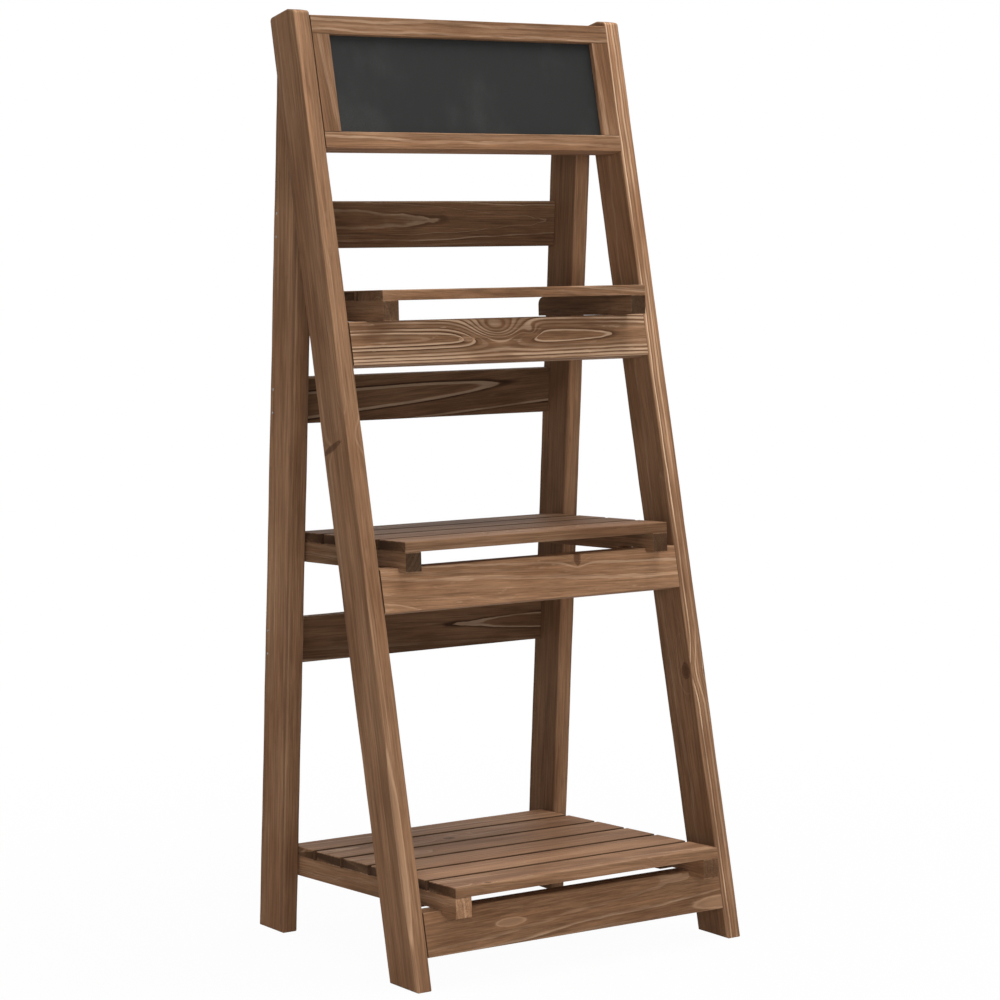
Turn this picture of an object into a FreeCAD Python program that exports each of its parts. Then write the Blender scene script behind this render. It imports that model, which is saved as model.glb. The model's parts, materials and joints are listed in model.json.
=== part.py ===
import FreeCAD, Part
import math
import os

# Folding three-tier plant stand of planed softwood. A leaning front frame carries a small
# chalkboard and three shelf rails. A steeper rear frame nests between the front legs and turns
# on two bolts behind the board. Three slatted shelves turn between the rear legs and rest their
# battens on the front rails, so the whole stand folds flat.
# Millimetres. X runs across the stand with the left leg at -X, Y runs from front to back and
# Z is up. The origin is the middle of the base, on the floor.

# Stance
stand_width = 400.0
foot_spread = 335.0
front_lean_deg = 12.7
shelf_tilt_deg = 2.0

# Legs. The part of a rear leg above its pivot is a share of the leg's depth.
leg_thickness = 18.0
leg_depth = 48.0
leg_edge_radius = 2.0
front_leg_length = 976.0
leg_top_bevel_run = 14.0
leg_top_bevel_drop = 5.0
leg_top_corner_radius = 4.0
rear_leg_above_pivot_share = 11 / 24
rear_leg_top_radius = 9.0
frame_gap = 1.0

# Front rails and the chalkboard frame, whose thickness is a share of the leg's depth
rail_thickness_share = 5 / 12
rail_height = 43.5
rail_edge_radius = 2.0
board_top_setback = 9.0
board_rail_height = 19.0
board_sill_height = 17.0
board_opening_height = 99.5
board_stile_width = 20.0
board_edge_radius = 1.0
panel_thickness = 3.0
panel_recess = 6.0
panel_groove_depth = 5.0
panel_clearance = 0.2

# Rear rails, by how far their top edges lie below the frame pivot and the two upper shelf pivots
rear_rail_thickness = 12.0
rear_rail_height = 48.0
rear_rail_edge_radius = 1.5
upper_rail_drop = 147.0
middle_rail_drop = 69.5
lower_rail_drop = 74.5

# Shelves. Down the rear leg, the top one's pivot is measured from the frame pivot, the middle one's
# from the top one's, and the bottom one's from the floor. A nose reaches past the front rail's face.
slat_width = 48.0
slat_gap_least = 4.0
slat_thickness = 10.5
slat_edge_radius = 2.0
batten_width = 18.0
batten_height = 20.0
batten_corner_radius = 8.0
batten_tail = 20.0
slat_overhang = 7.0
shelf_side_clearance = 2.0
shelf_pivot_setback = 35.0
top_shelf_drop = 258.0
middle_shelf_drop = 247.0
bottom_pivot_height = 71.0
top_shelf_nose = 31.3
middle_shelf_nose = 14.9
bottom_shelf_nose = 26.8
top_notch_depth = 0.0
middle_notch_depth = 4.0
bottom_notch_depth = 5.0
hook_clearance = 1.6
notch_play = 26.0

# Frame pivot bolts with six-sided heads, and their spacer washers. The bolts' distance from the
# leg's edge is a share of its depth.
pivot_below_top = 41.0
pivot_edge_share = 7 / 32
bolt_radius = 3.0
bolt_grip = 12.0
bolt_head_radius = 5.8
bolt_head_sides = 6
bolt_head_height = 4.0
bolt_washer_radius = 8.0

# Shelf pivot screws
shelf_screw_radius = 2.5
shelf_screw_grip = 12.0
shelf_screw_head_radius = 5.0
shelf_screw_head_height = 3.0

# Tenons of the front rails and of the chalkboard rails. Their distance behind the face and their
# thickness are shares of the rail's thickness.
tenon_length = 12.0
tenon_end_clearance = 0.5
rail_tenon_shoulder = 8.0
rail_tenon_face_share = 0.25
rail_tenon_thickness_share = 0.5
board_tenon_shoulder = 4.0
board_tenon_face_share = 0.55
board_tenon_thickness_share = 0.3

# Flat nails through the rear legs into the rails, and up through the battens into the slats
nail_width = 2.0
nail_thickness = 1.2
rail_nail_length = 40.0
rail_nail_spacing = 24.0
slat_nail_length = 22.0
front_nail_setback = 7.0

# Fits
running_clearance = 0.05
fixed_clearance = 0.02
cut_overrun = 5.0

front_lean = math.radians(front_lean_deg)
shelf_tilt = math.radians(shelf_tilt_deg)

# Half widths from the middle of the stand outwards
front_outer = stand_width / 2
front_inner = front_outer - leg_thickness
rear_outer = front_inner - frame_gap
rear_inner = rear_outer - leg_thickness
shelf_half = rear_inner - shelf_side_clearance
batten_inner = shelf_half - batten_width

# Sizes that follow the depth of the legs
rail_thickness = leg_depth * rail_thickness_share
rear_leg_above_pivot = leg_depth * rear_leg_above_pivot_share
pivot_edge_distance = leg_depth * pivot_edge_share
pivot_inset = leg_depth - pivot_edge_distance

# Pivots lie at mid height of the battens
batten_below = batten_height / 2
batten_above = batten_height - batten_below
slat_top_rise = batten_above + slat_thickness

# Slat nails are driven in past the deepest notch
nail_floor = max(top_notch_depth, middle_notch_depth, bottom_notch_depth) - batten_below

SIDES = {"left": -1, "right": 1}


def front_point(along, behind):
    """(y, z) at a distance up the front leg from the floor line and behind its front face, with
    the front foot at y 0."""
    y = along * math.sin(front_lean) + behind * math.cos(front_lean)
    z = along * math.cos(front_lean) - behind * math.sin(front_lean)
    return y, z


# The frame bolts lie one edge distance inside the front leg's back face and the rear leg's front
# face. The rear leg leans as its foot and the bolts ask.
frame_pivot = front_point(front_leg_length - pivot_below_top, pivot_inset)
pivot_run = foot_spread - frame_pivot[0]
pivot_reach = math.hypot(pivot_run, frame_pivot[1])
rear_lean = math.atan2(pivot_run, frame_pivot[1]) - math.asin(pivot_inset / pivot_reach)
frame_pivot_height = math.sqrt(pivot_reach**2 - pivot_inset**2)


def rear_point(up, ahead):
    """(y, z) at a distance up the rear leg from the floor line and ahead of its back face."""
    y = foot_spread - up * math.sin(rear_lean) - ahead * math.cos(rear_lean)
    z = up * math.cos(rear_lean) - ahead * math.sin(rear_lean)
    return y, z


def shelf_point(pivot_height, back, rise):
    """(y, z) at a distance behind a shelf's pivot and above it, in the tilted shelf."""
    pivot_y, pivot_z = rear_point(pivot_height, shelf_pivot_setback)
    y = pivot_y + back * math.cos(shelf_tilt) + rise * math.sin(shelf_tilt)
    z = pivot_z - back * math.sin(shelf_tilt) + rise * math.cos(shelf_tilt)
    return y, z


def behind_front_face(point):
    """How far a (y, z) point lies behind the plane of the front legs' front faces."""
    return point[0] * math.cos(front_lean) - point[1] * math.sin(front_lean)


def along_front_leg(point):
    """How far up the front leg a (y, z) point lies."""
    return point[0] * math.sin(front_lean) + point[1] * math.cos(front_lean)


def seat_corner(pivot_height, notch_depth):
    """Distance ahead of the pivot, and (y, z), of the front rail's top front corner under a
    shelf: where the seat in the battens meets the plane of the front faces."""
    rise = notch_depth - batten_below
    gap = behind_front_face(shelf_point(pivot_height, 0, rise))
    ahead = gap / math.cos(front_lean - shelf_tilt)
    return ahead, shelf_point(pivot_height, -ahead, rise)


def shelf_plan(pivot_height, notch_depth, nose):
    """Sizes of one shelf: its pivot height, notch depth and length ahead of the pivot, and the
    count and pitch of as many slats as fit in its depth."""
    length = seat_corner(pivot_height, notch_depth)[0] + nose
    depth = length + slat_overhang
    count = math.floor((depth + slat_gap_least) / (slat_width + slat_gap_least))
    pitch = (depth - slat_width) / (count - 1)
    return pivot_height, notch_depth, length, count, pitch


top_pivot_height = frame_pivot_height - top_shelf_drop
middle_pivot_height = top_pivot_height - middle_shelf_drop
SHELVES = {
    "top": shelf_plan(top_pivot_height, top_notch_depth, top_shelf_nose),
    "middle": shelf_plan(middle_pivot_height, middle_notch_depth, middle_shelf_nose),
    "bottom": shelf_plan(bottom_pivot_height, bottom_notch_depth, bottom_shelf_nose),
}
RAIL_OF_SHELF = {"top": "upper", "middle": "middle", "bottom": "lower"}
REAR_RAIL_TOPS = {
    "upper": frame_pivot_height - upper_rail_drop,
    "middle": top_pivot_height - middle_rail_drop,
    "lower": middle_pivot_height - lower_rail_drop,
}


def vector(x, point):
    return FreeCAD.Vector(x, point[0], point[1])


def outline(corners):
    """Closed wire in the YZ plane through (point, radius) corners, rounded where the radius
    isn't zero."""
    points = [vector(0, point) for point, _ in corners]
    edges = []
    joints = []
    for i, (_, radius) in enumerate(corners):
        here = points[i]
        before = (points[i - 1] - here).normalize()
        after = (points[(i + 1) % len(points)] - here).normalize()
        if radius == 0:
            joints.append((here, here))
            continue
        half_angle = before.getAngle(after) / 2
        start = here + before * (radius / math.tan(half_angle))
        end = here + after * (radius / math.tan(half_angle))
        centre = here + (before + after).normalize() * (radius / math.sin(half_angle))
        middle = centre + (here - centre).normalize() * radius
        edges.append(Part.Arc(start, middle, end).toShape())
        joints.append((start, end))
    for i, (_, end) in enumerate(joints):
        start = joints[(i + 1) % len(joints)][0]
        edges.append(Part.LineSegment(end, start).toShape())
    return Part.Wire(Part.__sortEdges__(edges))


def prism(corners, x_from, x_to):
    """Bar with the given YZ outline, from one X to another."""
    low, high = sorted((x_from, x_to))
    face = Part.Face(outline(corners))
    face.translate(FreeCAD.Vector(low, 0, 0))
    return face.extrude(FreeCAD.Vector(high - low, 0, 0))


def pin_x(radius, x_from, x_to, point):
    """Round pin along X."""
    low, high = sorted((x_from, x_to))
    return Part.makeCylinder(radius, high - low, vector(low, point), FreeCAD.Vector(1, 0, 0))


def eased_stock(point_of, length, x_from, x_to):
    """Planed leg stock, longer than the leg at both ends, with its four long edges rounded."""
    low = -leg_depth
    high = length + leg_depth
    ends = ((low, 0), (high, 0), (high, leg_depth), (low, leg_depth))
    stock = prism([(point_of(along, across), 0) for along, across in ends], x_from, x_to)
    long_edges = [edge for edge in stock.Edges if edge.Length > length]
    return stock.makeFillet(leg_edge_radius, long_edges)


def front_rail_tops():
    """Distance up the front leg of each front rail's top front corner."""
    tops = {}
    for shelf, (pivot_height, notch_depth, *_) in SHELVES.items():
        tops[RAIL_OF_SHELF[shelf]] = along_front_leg(seat_corner(pivot_height, notch_depth)[1])
    return tops


FRONT_RAIL_TOPS = front_rail_tops()

# Chalkboard frame, by distances up the front leg
board_rail_top = front_leg_length - board_top_setback
board_rail_bottom = board_rail_top - board_rail_height
board_sill_top = board_rail_bottom - board_opening_height
board_sill_bottom = board_sill_top - board_sill_height
board_stile_inner = front_inner - board_stile_width


def rail_tenon(top):
    """Lower, upper, front and back limits of a front rail's tenons, up the leg and behind its face."""
    front = rail_thickness * rail_tenon_face_share
    back = front + rail_thickness * rail_tenon_thickness_share
    return top - rail_height + rail_tenon_shoulder, top - rail_tenon_shoulder, front, back


def board_tenon(bottom, top):
    """The same limits for a chalkboard rail, behind the panel's groove."""
    front = rail_thickness * board_tenon_face_share
    back = front + rail_thickness * board_tenon_thickness_share
    return bottom + board_tenon_shoulder, top - board_tenon_shoulder, front, back


def front_tenons():
    """Limits of every tenon that enters a front leg."""
    tenons = [rail_tenon(top) for top in FRONT_RAIL_TOPS.values()]
    tenons.append(board_tenon(board_rail_bottom, board_rail_top))
    tenons.append(board_tenon(board_sill_bottom, board_sill_top))
    return tenons


def tenon_block(limits, side, x_from, x_to, ease):
    """Square-cornered block in the tenon's place, widened by an ease."""
    bottom, top, front, back = limits
    ends = (
        (bottom - ease, front - ease),
        (top + ease, front - ease),
        (top + ease, back + ease),
        (bottom - ease, back + ease),
    )
    corners = [(front_point(along, behind), 0) for along, behind in ends]
    return prism(corners, side * x_from, side * x_to)


def rail_nail(side, top, ease):
    """The two flat nails through one rear leg into one rail, widened by an ease."""
    middle = top - rear_rail_height / 2
    half_width = nail_width / 2 + ease
    half_thickness = nail_thickness / 2 + ease
    nails = []
    for offset in (-rail_nail_spacing / 2, rail_nail_spacing / 2):
        ends = (
            (middle + offset - half_width, rear_rail_thickness / 2 - half_thickness),
            (middle + offset + half_width, rear_rail_thickness / 2 - half_thickness),
            (middle + offset + half_width, rear_rail_thickness / 2 + half_thickness),
            (middle + offset - half_width, rear_rail_thickness / 2 + half_thickness),
        )
        corners = [(rear_point(up, ahead), 0) for up, ahead in ends]
        nails.append(prism(corners, side * (rear_outer - rail_nail_length), side * rear_outer))
    return nails


def front_leg(side):
    """Leg with a level foot, a square top eased at the front, and blind holes inside."""
    top_front = front_point(front_leg_length - leg_top_bevel_drop, 0)
    top_bevel = front_point(front_leg_length, leg_top_bevel_run)
    top_back = front_point(front_leg_length, leg_depth)
    foot_back = (leg_depth / math.cos(front_lean), 0)
    corners = [
        ((0, 0), 0),
        (top_front, leg_top_corner_radius),
        (top_bevel, leg_top_corner_radius),
        (top_back, leg_top_corner_radius),
        (foot_back, 0),
    ]
    stock = eased_stock(front_point, front_leg_length, side * front_inner, side * front_outer)
    leg = stock.common(prism(corners, side * front_inner, side * front_outer))
    inside = front_inner - cut_overrun
    for limits in front_tenons():
        depth = front_inner + tenon_length + tenon_end_clearance
        leg = leg.cut(tenon_block(limits, side, inside, depth, fixed_clearance))
    bolt_end = front_inner + bolt_grip
    return leg.cut(pin_x(bolt_radius + fixed_clearance, side * inside, side * bolt_end, frame_pivot))


def tenoned(rail, limits):
    """Rail between the front legs with a tenon on each end."""
    for side in SIDES.values():
        root = front_inner - cut_overrun
        rail = rail.fuse(tenon_block(limits, side, root, front_inner + tenon_length, 0))
    return rail.removeSplitter()


def front_rail(top):
    """Shelf rail flush with the legs' front faces, its top planed to the tilt of the shelves."""
    bottom = top - rail_height
    top_front = front_point(top, 0)
    top_run = rail_thickness / math.cos(front_lean - shelf_tilt)
    top_back = (top_front[0] + top_run * math.cos(shelf_tilt), top_front[1] - top_run * math.sin(shelf_tilt))
    corners = [
        (front_point(bottom, 0), rail_edge_radius),
        (top_front, rail_edge_radius),
        (top_back, 0),
        (front_point(bottom, rail_thickness), 0),
    ]
    rail = prism(corners, -front_inner, front_inner)
    return tenoned(rail, rail_tenon(top))


def board_rail(bottom, top, groove_edge):
    """Chalkboard rail with a groove for the panel in the edge that faces the opening."""
    corners = [
        (front_point(bottom, 0), board_edge_radius),
        (front_point(top, 0), board_edge_radius),
        (front_point(top, rail_thickness), 0),
        (front_point(bottom, rail_thickness), 0),
    ]
    rail = prism(corners, -front_inner, front_inner)
    groove_ends = (groove_edge - panel_groove_depth, groove_edge + panel_groove_depth)
    groove = panel_slab(*groove_ends, panel_clearance / 2)
    rail = rail.cut(prism(groove, -front_inner - cut_overrun, front_inner + cut_overrun))
    return tenoned(rail, board_tenon(bottom, top))


def panel_slab(bottom, top, ease):
    """Outline of the panel's thickness between two heights up the leg, widened by an ease."""
    front = panel_recess - ease
    back = panel_recess + panel_thickness + ease
    ends = ((bottom, front), (top, front), (top, back), (bottom, back))
    return [(front_point(along, behind), 0) for along, behind in ends]


def board_stile(side):
    """Short upright between the chalkboard rails, grooved for the panel."""
    corners = [
        (front_point(board_sill_top, 0), 0),
        (front_point(board_rail_bottom, 0), 0),
        (front_point(board_rail_bottom, rail_thickness), 0),
        (front_point(board_sill_top, rail_thickness), 0),
    ]
    stile = prism(corners, side * board_stile_inner, side * front_inner)
    groove = panel_slab(board_sill_top - cut_overrun, board_rail_bottom + cut_overrun, panel_clearance / 2)
    mouth = side * (board_stile_inner - cut_overrun)
    return stile.cut(prism(groove, mouth, side * (board_stile_inner + panel_groove_depth)))


def board_panel():
    """Thin writing panel held in the grooves all round."""
    reach = panel_groove_depth - panel_clearance
    slab = panel_slab(board_sill_top - reach, board_rail_bottom + reach, 0)
    return prism(slab, -board_stile_inner - reach, board_stile_inner + reach)


def rear_leg(side):
    """Leg with a level foot and a rounded top, bored for the frame bolt, nails and shelf screws."""
    top = frame_pivot_height + rear_leg_above_pivot
    foot_front = (foot_spread - leg_depth / math.cos(rear_lean), 0)
    corners = [
        ((foot_spread, 0), 0),
        (rear_point(top, 0), rear_leg_top_radius),
        (rear_point(top, leg_depth), rear_leg_top_radius),
        (foot_front, 0),
    ]
    stock = eased_stock(rear_point, top, side * rear_inner, side * rear_outer)
    leg = stock.common(prism(corners, side * rear_inner, side * rear_outer))
    inside = side * (rear_inner - cut_overrun)
    outside = side * (rear_outer + cut_overrun)
    leg = leg.cut(pin_x(bolt_radius + running_clearance, inside, outside, frame_pivot))
    for pivot_height, *_ in SHELVES.values():
        end = side * (rear_inner + shelf_screw_grip)
        place = rear_point(pivot_height, shelf_pivot_setback)
        leg = leg.cut(pin_x(shelf_screw_radius + fixed_clearance, inside, end, place))
    for rail_top in REAR_RAIL_TOPS.values():
        leg = leg.cut(Part.makeCompound(rail_nail(side, rail_top, fixed_clearance)))
    return leg


def rear_rail(top):
    """Thin rail between the rear legs, flush with their back faces."""
    bottom = top - rear_rail_height
    corners = [
        (rear_point(bottom, 0), rear_rail_edge_radius),
        (rear_point(top, 0), rear_rail_edge_radius),
        (rear_point(top, rear_rail_thickness), rear_rail_edge_radius),
        (rear_point(bottom, rear_rail_thickness), rear_rail_edge_radius),
    ]
    rail = prism(corners, -rear_inner, rear_inner)
    for side in SIDES.values():
        rail = rail.cut(Part.makeCompound(rail_nail(side, top, fixed_clearance)))
    return rail


def rear_nails():
    """Nails through the rear legs into the rear rails, as separate solids."""
    nails = []
    for side in SIDES.values():
        for top in REAR_RAIL_TOPS.values():
            nails += rail_nail(side, top, 0)
    return Part.makeCompound(nails)


def six_sided_head(x_from, x_to, point):
    """Bolt head with flat sides and its axis along X."""
    corners = []
    for i in range(bolt_head_sides):
        turn = math.tau * i / bolt_head_sides
        y = point[0] + bolt_head_radius * math.cos(turn)
        z = point[1] + bolt_head_radius * math.sin(turn)
        corners.append(((y, z), 0))
    return prism(corners, x_from, x_to)


def frame_bolts():
    """Pivot bolts, headed inside the rear legs and fixed in the front legs."""
    bolts = []
    for side in SIDES.values():
        shank = pin_x(bolt_radius, side * rear_inner, side * (front_inner + bolt_grip), frame_pivot)
        head = six_sided_head(side * (rear_inner - bolt_head_height), side * rear_inner, frame_pivot)
        bolts.append(shank.fuse(head).removeSplitter())
    return Part.makeCompound(bolts)


def ring_x(outer_radius, inner_radius, x_from, x_to, point):
    """Washer with its axis along X."""
    return pin_x(outer_radius, x_from, x_to, point).cut(pin_x(inner_radius, x_from, x_to, point))


def frame_washers():
    """Spacer washers between the front and rear legs."""
    inner_radius = bolt_radius + fixed_clearance
    rings = []
    for side in SIDES.values():
        ends = (side * rear_outer, side * front_inner)
        rings.append(ring_x(bolt_washer_radius, inner_radius, *ends, frame_pivot))
    return Part.makeCompound(rings)


def shelf_screws(pivot_height):
    """Pivot screws of one shelf, sunk in the battens and fixed in the rear legs."""
    place = rear_point(pivot_height, shelf_pivot_setback)
    screws = []
    for side in SIDES.values():
        shank = pin_x(shelf_screw_radius, side * batten_inner, side * (rear_inner + shelf_screw_grip), place)
        seat = side * (batten_inner + shelf_screw_head_height)
        head = pin_x(shelf_screw_head_radius, side * batten_inner, seat, place)
        screws.append(shank.fuse(head).removeSplitter())
    return Part.makeCompound(screws)


def slat_nail_places(length, count, pitch):
    """Distances behind the pivot of one shelf's slat nails: mid slat, and near the edge on the
    front slat."""
    places = [-length + front_nail_setback]
    for i in range(1, count):
        places.append(-length + i * pitch + slat_width / 2)
    return places


def slat_nail(pivot_height, back, side, ease):
    """Flat nail driven up through a batten into a slat, widened by an ease."""
    half_width = nail_width / 2 + ease
    half_thickness = nail_thickness / 2 + ease
    low = nail_floor - ease
    high = nail_floor + slat_nail_length + ease
    front = back - half_width
    rear = back + half_width
    ends = ((front, low), (front, high), (rear, high), (rear, low))
    corners = [(shelf_point(pivot_height, behind, rise), 0) for behind, rise in ends]
    middle = side * (shelf_half - batten_width / 2)
    return prism(corners, middle - half_thickness, middle + half_thickness)


def slat_nails(plan):
    """Slat nails of one shelf, as separate solids."""
    pivot_height, _, *layout = plan
    nails = []
    for side in SIDES.values():
        nails += [slat_nail(pivot_height, back, side, 0) for back in slat_nail_places(*layout)]
    return Part.makeCompound(nails)


def batten(side, plan):
    """Bearer under one end of a shelf: rounded tail at the pivot, and a notch that drops over
    the front rail where the shelf has one."""
    pivot_height, notch_depth, *layout = plan
    front = -layout[0]
    corners = [
        (shelf_point(pivot_height, front, -batten_below), 0),
        (shelf_point(pivot_height, front, batten_above), 0),
        (shelf_point(pivot_height, batten_tail, batten_above), batten_corner_radius),
        (shelf_point(pivot_height, batten_tail, -batten_below), 0),
    ]
    bar = prism(corners, side * batten_inner, side * shelf_half)
    if notch_depth > 0:
        seat_ahead = seat_corner(pivot_height, notch_depth)[0]
        rail_run = rail_thickness / math.cos(front_lean - shelf_tilt)
        notch_front = -seat_ahead - hook_clearance
        notch_back = -seat_ahead + rail_run + notch_play
        ceiling = notch_depth - batten_below
        floor = -batten_below - cut_overrun
        ends = ((notch_front, floor), (notch_front, ceiling), (notch_back, ceiling), (notch_back, floor))
        notch = [(shelf_point(pivot_height, back, rise), 0) for back, rise in ends]
        bar = bar.cut(prism(notch, side * (batten_inner - cut_overrun), side * (shelf_half + cut_overrun)))
    place = rear_point(pivot_height, shelf_pivot_setback)
    inside = side * (batten_inner - cut_overrun)
    outside = side * (shelf_half + cut_overrun)
    bar = bar.cut(pin_x(shelf_screw_radius + running_clearance, inside, outside, place))
    sink = side * (batten_inner + shelf_screw_head_height)
    bar = bar.cut(pin_x(shelf_screw_head_radius + running_clearance, inside, sink, place))
    for back in slat_nail_places(*layout):
        bar = bar.cut(slat_nail(pivot_height, back, side, fixed_clearance))
    return bar


def slat(index, plan):
    """One slat, counted from the front, with eased top edges and its nail holes beneath."""
    pivot_height, _, length, count, pitch = plan
    front = -length + index * pitch
    corners = [
        (shelf_point(pivot_height, front, batten_above), 0),
        (shelf_point(pivot_height, front, slat_top_rise), slat_edge_radius),
        (shelf_point(pivot_height, front + slat_width, slat_top_rise), slat_edge_radius),
        (shelf_point(pivot_height, front + slat_width, batten_above), 0),
    ]
    board = prism(corners, -shelf_half, shelf_half)
    back = slat_nail_places(length, count, pitch)[index]
    for side in SIDES.values():
        board = board.cut(slat_nail(pivot_height, back, side, fixed_clearance))
    return board


def front_frame():
    """Pieces of the front frame, by node name."""
    pieces = {f"front_leg_{name}": front_leg(side) for name, side in SIDES.items()}
    for name, top in FRONT_RAIL_TOPS.items():
        pieces[f"front_rail_{name}"] = front_rail(top)
    pieces["chalkboard_top_rail"] = board_rail(board_rail_bottom, board_rail_top, board_rail_bottom)
    pieces["chalkboard_bottom_rail"] = board_rail(board_sill_bottom, board_sill_top, board_sill_top)
    for name, side in SIDES.items():
        pieces[f"chalkboard_stile_{name}"] = board_stile(side)
    pieces["chalkboard_panel"] = board_panel()
    pieces["frame_pivot_bolts"] = frame_bolts()
    pieces["frame_pivot_washers"] = frame_washers()
    return pieces


def rear_frame():
    """Pieces of the rear frame, by node name."""
    pieces = {f"rear_leg_{name}": rear_leg(side) for name, side in SIDES.items()}
    for name, top in REAR_RAIL_TOPS.items():
        pieces[f"rear_rail_{name}"] = rear_rail(top)
    pieces["rear_rail_nails"] = rear_nails()
    for shelf, (pivot_height, *_) in SHELVES.items():
        pieces[f"{shelf}_shelf_pivot_screws"] = shelf_screws(pivot_height)
    return pieces


def shelf_pieces(shelf):
    """Slats, battens and slat nails of one shelf, by node name."""
    plan = SHELVES[shelf]
    count = plan[3]
    pieces = {f"{shelf}_slat_{i + 1}": slat(i, plan) for i in range(count)}
    for name, side in SIDES.items():
        pieces[f"{shelf}_batten_{name}"] = batten(side, plan)
    pieces[f"{shelf}_slat_nails"] = slat_nails(plan)
    return pieces


def base_middle():
    """Middle of the stand's depth, between the rear feet and what reaches furthest forward."""
    fronts = [0]
    for pivot_height, _, length, *_ in SHELVES.values():
        fronts.append(shelf_point(pivot_height, -length, -batten_below)[0])
    return (min(fronts) + foot_spread) / 2


def main():
    pieces = front_frame()
    pieces.update(rear_frame())
    for shelf in SHELVES:
        pieces.update(shelf_pieces(shelf))
    os.makedirs("parts", exist_ok=True)
    for name, shape in pieces.items():
        shape.translate(FreeCAD.Vector(0, -base_middle(), 0))
        shape.exportStep(os.path.join("parts", name + ".step"))


main()
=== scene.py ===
import json
import math
import zlib
from functools import partialmethod

import bpy
import numpy as np
from mathutils import Matrix, Vector


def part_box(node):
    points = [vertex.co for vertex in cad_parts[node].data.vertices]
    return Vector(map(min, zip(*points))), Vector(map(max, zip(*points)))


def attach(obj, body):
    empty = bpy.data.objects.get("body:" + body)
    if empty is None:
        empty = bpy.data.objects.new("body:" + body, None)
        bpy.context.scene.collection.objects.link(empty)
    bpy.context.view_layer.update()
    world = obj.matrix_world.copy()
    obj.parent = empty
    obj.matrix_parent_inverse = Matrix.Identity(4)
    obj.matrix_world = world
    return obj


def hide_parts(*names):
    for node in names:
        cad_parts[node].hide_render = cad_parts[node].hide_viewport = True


bl_info = {
    "name": "Folding plant stand",
    "version": (1, 0, 0),
    "blender": (4, 5, 0),
    "location": "View3D > Sidebar > Plant stand",
    "description": "Stained softwood boards, chalkboard and fittings of a folding plant stand",
    "category": "Object",
}

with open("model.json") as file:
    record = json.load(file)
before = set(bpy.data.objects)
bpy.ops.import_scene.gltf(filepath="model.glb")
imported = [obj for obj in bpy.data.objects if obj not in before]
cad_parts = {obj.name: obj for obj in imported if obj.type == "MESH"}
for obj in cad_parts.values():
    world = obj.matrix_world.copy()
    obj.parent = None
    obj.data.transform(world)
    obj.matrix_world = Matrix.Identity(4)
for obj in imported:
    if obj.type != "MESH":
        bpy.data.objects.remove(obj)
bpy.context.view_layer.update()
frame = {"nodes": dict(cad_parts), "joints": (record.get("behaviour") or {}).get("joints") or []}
MM = 0.001
SIDES = ("left", "right")
RAILS = ("upper", "middle", "lower")
SHELF_SLATS = {"top": 3, "middle": 4, "bottom": 6}
JOINT_RANGE = {joint["name"]: math.radians(joint["range_deg"][1]) for joint in frame["joints"]}

# Smallest radius of an arc, and how far from an arc's end the next point lies, as a length and at most as
# a share of the side.
LEAST_RADIUS = 0.08 * MM
SUPPORT = 0.5 * MM
SUPPORT_SHARE = 0.3
# Easing of the battens' long edges and of the ends round the chalkboard.
END_EASE = 0.25 * MM
# Depth of the panel's groove in the stiles, and the room round the panel in all grooves.
STILE_GROOVE = 5 * MM
GROOVE_ROOM = 0.1 * MM

# How a board lies in its local axes: a leg or batten is drawn as its long side, a rail or slat as its
# section.
LONG_SIDE = dict(plane=(0, 1), grain=0, across=1, through=2)
SECTION = dict(plane=(0, 1), grain=2, across=0, through=1, body_rows=40)

# Attributes of the two knots and the two pale spots of a board, and what stands for none: one far outside.
KNOTS = ("knot_one", "knot_two")
SPOTS = ("spot_one", "spot_two")
NO_KNOT = (9000, 9000, 0, 1, 0)
NO_SPOT = ((9000, 9000, 0), (1, 1, 1000))
# Drift of a knot along and across the board for each millimetre through it.
KNOT_SLANT = (0.15, 0.2)
# Painted shade on the inner faces of the legs, which face the inside of the stand.
INNER_FACE_SHADE = 0.45


def tint(name, description, default):
    return bpy.props.FloatVectorProperty(
        name=name, description=description, default=default, subtype="COLOR", min=0.0, max=1.0)


def edge_radius(name, description, default):
    return bpy.props.FloatProperty(name=name, description=description, default=default * MM, unit="LENGTH")


class StandTimberSettings(bpy.types.PropertyGroup):
    """Shape and stain of the boards."""

    front_lean: bpy.props.FloatProperty(
        name="Front lean", description="Lean of the front frame from upright",
        default=math.radians(12.7), subtype="ANGLE")
    arris: edge_radius("Leg arris", "Radius of the long edges of the legs", 2.0)
    rail_arris: edge_radius("Rail arris", "Radius of the front edges of the rails", 2.0)
    slat_arris: edge_radius("Slat arris", "Radius of the top edges of the slats", 1.3)
    fine_arris: edge_radius("Fine arris", "Radius of edges that are only broken with sandpaper", 0.6)
    hand_share: bpy.props.FloatProperty(
        name="Hand work", description="How much an eased edge changes along its length",
        default=0.3, subtype="FACTOR", min=0.0, max=0.9)
    early: tint("Early wood", "Stained soft wood between the ring lines", (0.286, 0.154, 0.0825))
    smoke: tint("Dark stain", "Stain where it has soaked in deepest", (0.165, 0.076, 0.036))
    late: tint("Late wood", "Hard ring lines that take little stain", (0.620, 0.420, 0.275))
    heart: tint("Knot", "Heart of a knot", (0.075, 0.033, 0.016))
    # Joint colour: dark stain in joints, also used as painted shade in narrow gaps, on some front edges and
    # on the legs' inner faces.
    joint: tint("Joint", "Stain that has run into joints and gaps", (0.030, 0.014, 0.007))
    # Pale wood of worn edges and pale spots, which on the arrises also stands for a painted highlight.
    pale_wood_and_highlight: tint("Rubbed edge", "Paler wood where edges are rubbed", (0.480, 0.290, 0.170))


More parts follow.
